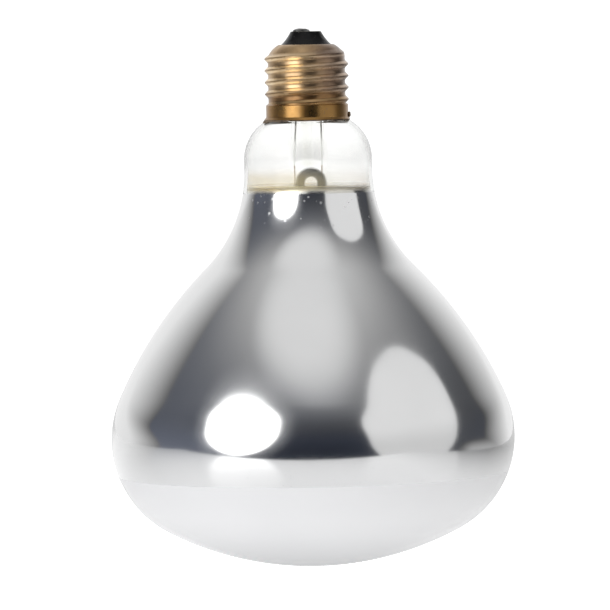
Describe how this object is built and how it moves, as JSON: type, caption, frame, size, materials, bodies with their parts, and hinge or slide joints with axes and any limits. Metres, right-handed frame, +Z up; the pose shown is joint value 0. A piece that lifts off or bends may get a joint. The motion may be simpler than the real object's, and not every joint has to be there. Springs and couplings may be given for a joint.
{
  "type": "infrared heat lamp bulb",
  "caption": "Reflector heat lamp bulb: blown glass bulb with a frosted domed face, mirrored flanks, clear neck and a brass screw cap with a centre contact.",
  "frame": {"origin": "lowest point of the domed face, on the lamp's axis", "axes": "+Z up along the lamp's axis, from the domed face to the cap; the broad side of the stem's press faces -Y"},
  "size_m": [0.125, 0.125, 0.1664],
  "materials": {
    "bulb_glass": "blown glass, clear at the neck, mirrored inside along the flanks, frosted inside on the domed face",
    "cap_brass": "pressed sheet, lightly tarnished",
    "black_glass": "glossy, opaque black",
    "contact_brass": "dull, tinned",
    "solder": "set solder, slightly dull",
    "cement": "baked cement, matt",
    "stem_glass": "clear glass",
    "lead_wire": "drawn nickel wire",
    "seal_wire": "copper-clad wire",
    "support_wire": "drawn wire",
    "filament_wire": "dark coiled wire"
  },
  "bodies": {
    "root": {"glass_envelope": "bulb_glass", "cap_shell": "cap_brass", "cap_insulator": "black_glass", "centre_contact": "contact_brass", "contact_solder": "solder", "rim_weld": "solder", "basing_cement": "cement", "glass_stem": "stem_glass", "exhaust_tube": "stem_glass", "arbor_rod": "stem_glass", "centre_lead": "lead_wire", "side_lead": "lead_wire", "seal_wires": "seal_wire", "inner_lead_left": "lead_wire", "inner_lead_right": "lead_wire", "filament_supports": "support_wire", "filament": "filament_wire"}
  },
  "joints": []
}
